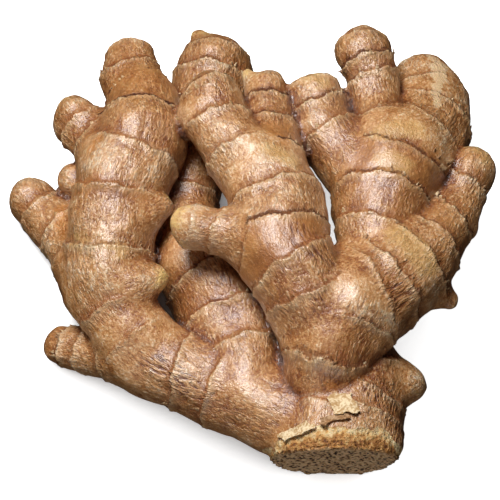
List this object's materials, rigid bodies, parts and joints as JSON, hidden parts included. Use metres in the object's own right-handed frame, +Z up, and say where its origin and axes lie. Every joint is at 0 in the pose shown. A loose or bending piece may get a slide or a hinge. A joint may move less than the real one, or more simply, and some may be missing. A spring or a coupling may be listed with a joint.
{
  "type": "ginger root",
  "caption": "Fresh ginger root: a knobbly hand of rounded fingers with ringed buff skin, cut flat at its base, lying on its side as on a table.",
  "frame": {"origin": "on the table, under the middle of the root's box", "axes": "+Z up from the table, -Y towards the cut base, +X to the right when the cut base is nearest"},
  "size_m": [0.1848, 0.1862, 0.0669],
  "materials": {
    "rhizome_skin": "dry buff skin of a fresh root, satin, with fine wrinkles"
  },
  "bodies": {
    "root": {"ginger_root": "rhizome_skin"}
  },
  "joints": []
}
